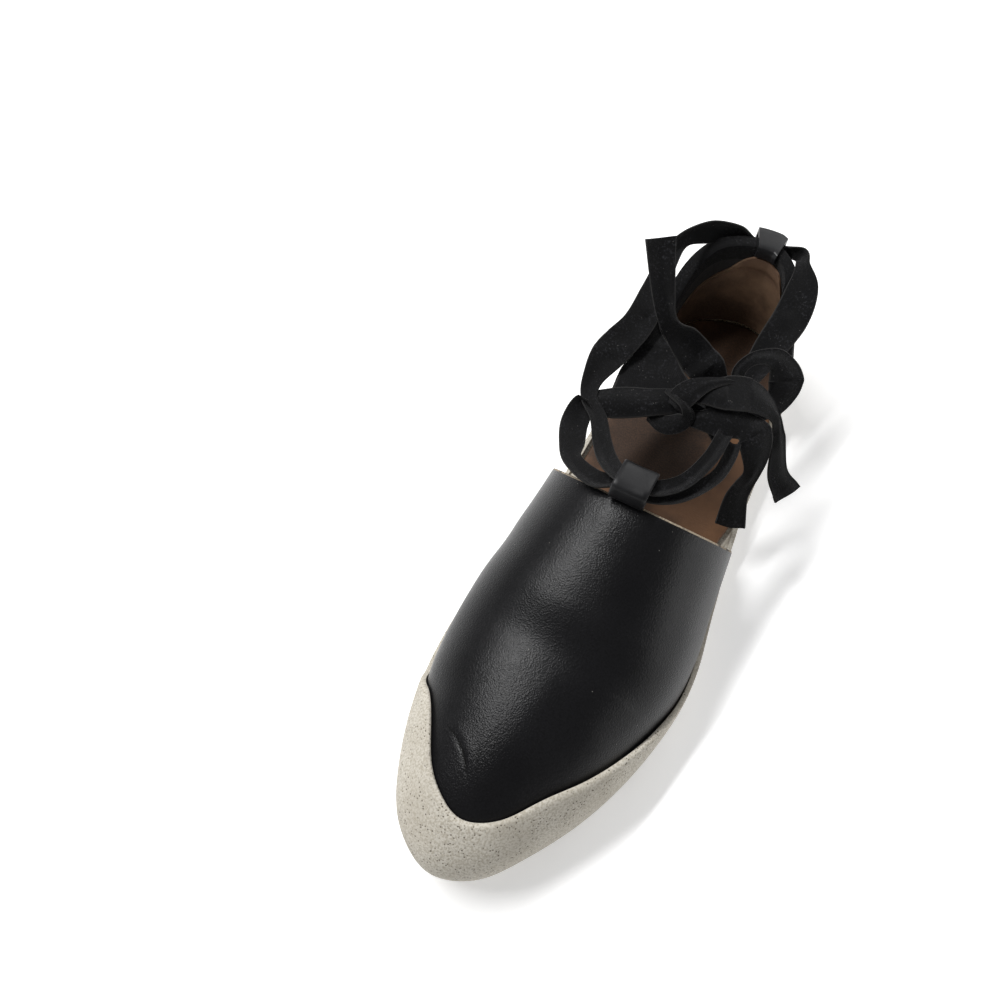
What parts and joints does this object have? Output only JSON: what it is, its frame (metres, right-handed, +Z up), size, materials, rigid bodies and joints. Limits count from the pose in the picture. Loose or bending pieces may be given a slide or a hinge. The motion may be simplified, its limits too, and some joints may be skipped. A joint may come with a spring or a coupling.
{
  "type": "open-waist lace-up flat shoe",
  "caption": "Two-piece flat shoe for a left foot: leather forefoot, woven heel counter, rubber cup sole and ribbon ties through leather loops.",
  "frame": {"origin": "middle of the shoe's box on the ground, measured without the ribbon's knot and ends", "axes": "-Y from heel to toe, +Z up, +X to the outer side of the foot"},
  "size_m": [0.0897, 0.2571, 0.093],
  "materials": {
    "cream_rubber": "matt speckled crumb rubber",
    "tan_leather": "smooth tan leather",
    "black_leather": "smooth black leather with a soft sheen",
    "natural_jute": "hand-stitched natural fibre",
    "black_tape": "matt woven tape"
  },
  "bodies": {
    "root": {"outsole": "cream_rubber", "insole": "tan_leather", "vamp": "black_leather", "counter": "natural_jute", "collar_binding": "black_tape", "vamp_loop": "black_leather", "heel_loop": "black_leather", "ribbon_straps": "black_tape", "ribbon_knot": "black_tape", "ribbon_bow": "black_tape", "ribbon_side_tail": "black_tape", "ribbon_front_tail": "black_tape", "ribbon_upper_tail": "black_tape"}
  },
  "joints": []
}
